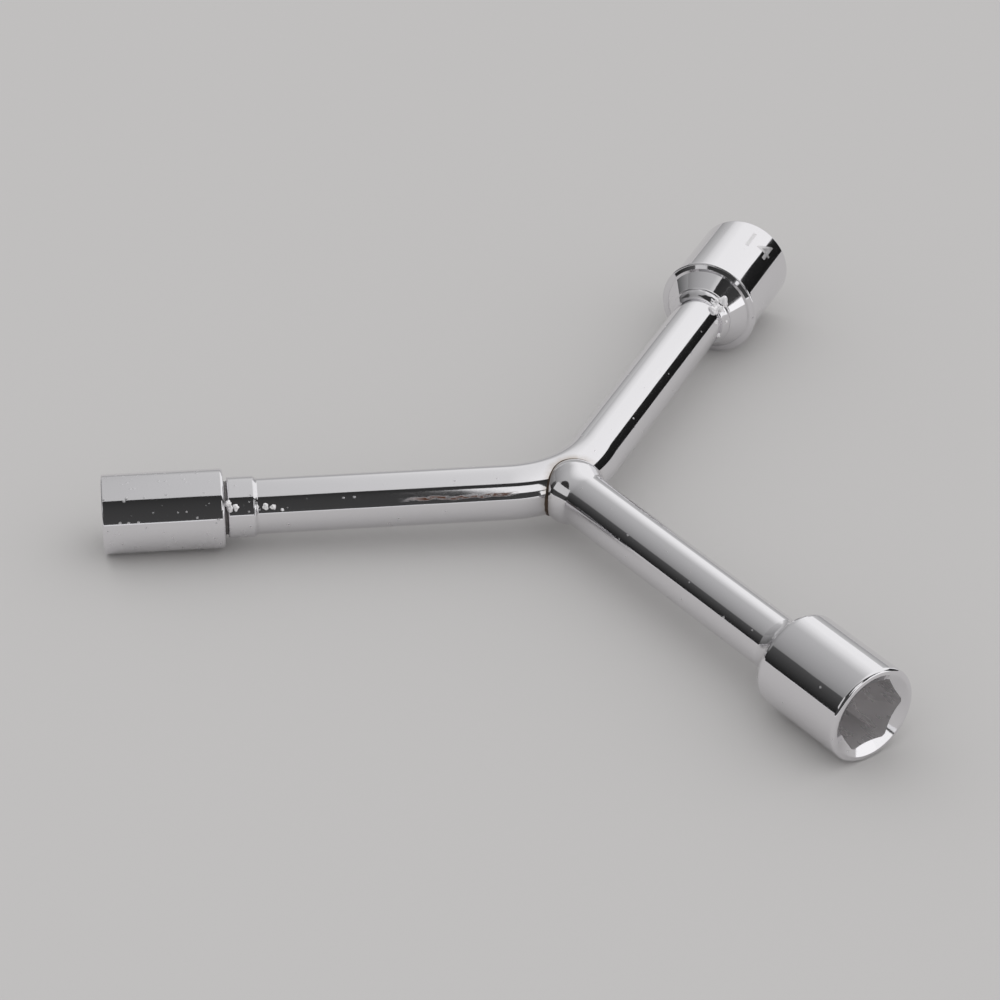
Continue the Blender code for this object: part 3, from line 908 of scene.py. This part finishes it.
def rust_streak(nodes):
    """A thin broken line of rust along the front of the left half of the long bar."""
    split = nodes.add("SeparateXYZ")
    nodes.link(nodes.place((1.0, 1.0, 1.0)), split.inputs["Vector"])
    up, front, station = (split.outputs[axis] for axis in "XYZ")
    sway = nodes.ramp(nodes.noise(RUST_SWAYS), *HAZE_RANGE, -RUST_SWAY, RUST_SWAY)
    band = nodes.band(nodes.math("ADD", up, sway), *RUST_BAND)
    stretch = nodes.band(station, *RUST_STRETCH)
    facing = nodes.ramp(front, 0.0, RUST_FRONT, 0.0, 1.0)
    line = nodes.math("MULTIPLY", nodes.math("MULTIPLY", band, stretch), facing)
    broken = nodes.ramp(nodes.noise(RUST_BREAKS, FINE_DETAIL), *RUST_RANGE, RUST_THINNEST, 1.0)
    return nodes.math("MULTIPLY", line, broken)


def chrome(name, colour, roughness, specked, weathered=False):
    """Bright plating with slow waves, drawing marks along the bar, and dull specks.

    Weathered plating has heat colour beside the weld and a line of rust too."""
    nodes = Nodes(name)
    shader = nodes.shader
    rough = nodes.ramp(
        nodes.noise(HAZE), *CHROME_HAZE_RANGE, roughness, roughness * CHROME_SPREAD)
    dull = specks(nodes, specked)
    rough = nodes.math("ADD", rough, nodes.math("MULTIPLY", dull, SPECK_ROUGHNESS))
    if weathered:
        rust = rust_streak(nodes)
        heated = nodes.mix(heat_halo(nodes), colour, HEAT_COLOUR)
        nodes.link(nodes.mix(rust, heated, RUST_COLOUR), shader.inputs["Base Color"])
        nodes.link(nodes.ramp(rust, 0.0, 1.0, 1.0, RUST_METALLIC), shader.inputs["Metallic"])
        rough = nodes.math("ADD", rough, nodes.math("MULTIPLY", rust, RUST_ROUGHNESS))
    else:
        shader.inputs["Base Color"].default_value = (*colour, 1.0)
        shader.inputs["Metallic"].default_value = 1.0
    nodes.link(rough, shader.inputs["Roughness"])
    waves = nodes.bump(nodes.noise(WAVES, PLAIN_DETAIL), WAVE_HEIGHT)
    marks = nodes.bump(nodes.noise(DRAWING_MARKS, PLAIN_DETAIL), MARK_HEIGHT, waves)
    nodes.link(nodes.bump(dull, SPECK_HEIGHT, marks), shader.inputs["Normal"])
    return nodes.material


def bore_metal(name):
    """The broached hole: thin matte plating with marks along the hole."""
    nodes = Nodes(name)
    shader = nodes.shader
    shader.inputs["Base Color"].default_value = (*BORE_COLOUR, 1.0)
    shader.inputs["Metallic"].default_value = BORE_METALLIC
    rough = nodes.ramp(nodes.noise(BORE_HAZE), *HAZE_RANGE, *BORE_ROUGHNESS)
    nodes.link(rough, shader.inputs["Roughness"])
    nodes.link(nodes.bump(nodes.noise(BROACH_MARKS), BROACH_HEIGHT), shader.inputs["Normal"])
    return nodes.material


def rough_metal(name, colour, roughness, grain, metallic=1.0):
    """Uneven metal with a fine grain, for the welds, the groove's painted shade and the figure."""
    nodes = Nodes(name)
    shader = nodes.shader
    shader.inputs["Base Color"].default_value = (*colour, 1.0)
    shader.inputs["Metallic"].default_value = metallic
    rough = nodes.ramp(
        nodes.noise(ROUGH_HAZE), *HAZE_RANGE, roughness, roughness * ROUGH_SPREAD)
    nodes.link(rough, shader.inputs["Roughness"])
    nodes.link(nodes.bump(nodes.noise(ROUGH_GRAIN), grain), shader.inputs["Normal"])
    return nodes.material


# Studio

def flat_stage(name, corners, material):
    """A flat card of the studio, which isn't part of the wrench."""
    mesh = bpy.data.meshes.new(name)
    shape = bmesh.new()
    shape.faces.new([shape.verts.new(corner) for corner in corners])
    shape.to_mesh(mesh)
    shape.free()
    card = bpy.data.objects.new(name, mesh)
    bpy.context.scene.collection.objects.link(card)
    mesh.materials.append(material)
    return card


def glow_strength(nodes):
    """Puts plain emission in the shader's place, and gives the input for its strength."""
    nodes.tree.nodes.remove(nodes.shader)
    glow = nodes.add("Emission")
    surface = nodes.tree.nodes["Material Output"].inputs["Surface"]
    nodes.link(glow.outputs["Emission"], surface)
    return glow.inputs["Strength"]


def glow_material(name, axis, stops):
    """Emission that changes along one axis of its card, from stops of (share, strength)."""
    nodes = Nodes(name)
    glow = glow_strength(nodes)
    place = nodes.add("TexCoord")
    split = nodes.add("SeparateXYZ")
    nodes.link(place.outputs["Generated"], split.inputs["Vector"])
    curve = nodes.add("FloatCurve")
    points = curve.mapping.curves[0].points
    points[0].location, points[1].location = stops[0], stops[-1]
    for share, strength in stops[1:-1]:
        points.new(share, strength)
    for point in points:
        point.handle_type = "VECTOR"
    curve.mapping.use_clip = False
    curve.mapping.update()
    nodes.link(split.outputs[axis], curve.inputs["Value"])
    nodes.link(curve.outputs["Value"], glow)
    return nodes.material


def lamp_material(name, strength):
    """Emission of one strength."""
    nodes = Nodes(name)
    glow_strength(nodes).default_value = strength
    return nodes.material


def upright(one, two, low, high):
    """Corners of an upright card over two points of the floor, from a height to a height."""
    return [(*one, low), (*two, low), (*two, high), (*one, high)]


def reflect_only(card):
    """Lets only the metal's reflections see a card."""
    card.visible_camera = False
    card.visible_diffuse = False
    card.visible_shadow = False


def studio():
    floor_paint = Nodes("floor_paint")
    floor_paint.shader.inputs["Base Color"].default_value = (*FLOOR_COLOUR, 1.0)
    floor_paint.shader.inputs["Roughness"].default_value = FLOOR_ROUGHNESS
    floor_paint.shader.inputs["Specular IOR Level"].default_value = 0.0
    half = FLOOR_HALF_WIDTH
    corners = [(-half, -half, 0.0), (half, -half, 0.0), (half, half, 0.0), (-half, half, 0.0)]
    flat_stage("floor", corners, floor_paint.material)

    h = PANEL_HEIGHT
    width = PANEL_RIGHT - PANEL_LEFT
    stops = [((x - PANEL_LEFT) / width, strength) for x, strength in PANEL_STOPS]
    corners = [
        (PANEL_LEFT, PANEL_FRONT, h), (PANEL_LEFT, PANEL_BACK, h),
        (PANEL_RIGHT, PANEL_BACK, h), (PANEL_RIGHT, PANEL_FRONT, h)]
    glow = glow_material("overhead_panel", "X", stops)
    reflect_only(flat_stage("overhead_panel", corners, glow))

    for name, (one, two, bottom, top) in WALLS.items():
        glow = glow_material(name, "Z", [(0.0, bottom), (1.0, top)])
        reflect_only(flat_stage(name, upright(one, two, WALL_GAP, h), glow))
    for name, (one, two, low, high, strength) in LAMPS.items():
        glow = lamp_material(name, strength)
        reflect_only(flat_stage(name, upright(one, two, low, high), glow))


def world():
    """A pale surround, which lights matt surfaces a little more strongly than it looks."""
    sky = bpy.data.worlds.new("studio_world")
    bpy.context.scene.world = sky
    sky.use_nodes = True
    tree = sky.node_tree
    background = tree.nodes["Background"]
    background.inputs["Color"].default_value = (*WORLD_COLOUR, 1.0)
    path = tree.nodes.new("ShaderNodeLightPath")
    seen = tree.nodes.new("ShaderNodeMath")
    seen.operation = "MAXIMUM"
    tree.links.new(path.outputs["Is Camera Ray"], seen.inputs[0])
    tree.links.new(path.outputs["Is Glossy Ray"], seen.inputs[1])
    through = tree.nodes.new("ShaderNodeMath")
    through.operation = "MAXIMUM"
    tree.links.new(seen.outputs["Value"], through.inputs[0])
    tree.links.new(path.outputs["Is Transmission Ray"], through.inputs[1])
    level = tree.nodes.new("ShaderNodeMapRange")
    level.inputs["To Min"].default_value = WORLD_FILL
    level.inputs["To Max"].default_value = 1.0
    tree.links.new(through.outputs["Value"], level.inputs["Value"])
    tree.links.new(level.outputs["Result"], background.inputs["Strength"])


def camera():
    """The photograph's view, from its look direction and the crossing's depth and pixel."""
    forward = Vector((
        math.cos(LOOK_AZIMUTH) * math.cos(LOOK_ELEVATION),
        math.sin(LOOK_AZIMUTH) * math.cos(LOOK_ELEVATION),
        -math.sin(LOOK_ELEVATION)))
    level_right = Vector((math.sin(LOOK_AZIMUTH), -math.cos(LOOK_AZIMUTH), 0.0))
    level_down = forward.cross(level_right)
    right = level_right * math.cos(LOOK_ROLL) + level_down * math.sin(LOOK_ROLL)
    down = level_down * math.cos(LOOK_ROLL) - level_right * math.sin(LOOK_ROLL)
    middle = PHOTO_WIDTH / 2
    x, y = ((pixel - middle) / FOCAL_PIXELS * CROSSING_DEPTH for pixel in CROSSING_PIXEL)
    place = CROSSING - forward * CROSSING_DEPTH - right * x - down * y
    lens = bpy.data.cameras.new("camera")
    lens.sensor_width = SENSOR_WIDTH_MM
    lens.lens = FOCAL_PIXELS / PHOTO_WIDTH * SENSOR_WIDTH_MM
    lens.clip_start, lens.clip_end = CLIP_START, CLIP_END
    eye = bpy.data.objects.new("camera", lens)
    bpy.context.scene.collection.objects.link(eye)
    turn = Matrix((right, -down, -forward)).transposed().to_4x4()
    eye.matrix_world = Matrix.Translation(place) @ turn
    bpy.context.scene.camera = eye


def wrench():
    bar = chrome("bar_chrome", BAR_COLOUR, BAR_ROUGHNESS, BAR_SPECKS, weathered=True)
    plated = chrome("socket_chrome", SOCKET_COLOUR, SOCKET_ROUGHNESS, SOCKET_SPECKS)
    specked = chrome("specked_chrome", SOCKET_COLOUR, SOCKET_ROUGHNESS, LEFT_SOCKET_SPECKS)
    bore = bore_metal("bore_metal")
    # Dark colour painted into the left head's groove as its shade
    groove_shade = rough_metal("groove_painted_shade", **GROOVE_PAINTED_SHADE)
    tint = rough_metal("weld_tint", **WELD_TINT)
    ring = rough_metal("weld_chrome", **WELD_CHROME)
    figure = rough_metal("stamped_figure", **STAMPED_FIGURE)
    crease = crease_points(BEAD_POINTS)
    bent_bar(bar, crease)
    branch_bar(bar, crease)
    junction_weld(tint, crease)
    socket("left", left_outline(), [specked, bore, groove_shade])
    socket("far", far_outline(), [plated, bore])
    socket("near", near_outline(), [plated, bore])
    neck_weld("left_weld_ring", "left", step_fall, ring)
    neck_weld("far_weld_ring", "far", ring_fall, ring)
    neck_weld("near_weld_ring", "near", fillet_fall, ring)
    # The spatter's lumps are real; their near-white colour is painted glint
    spatter(rough_metal("weld_spatter_painted_glint", **WELD_SPATTER_PAINTED_GLINT))
    numeral(figure)


wrench()
studio()
world()
camera()
bpy.context.scene.view_settings.view_transform = "Standard"
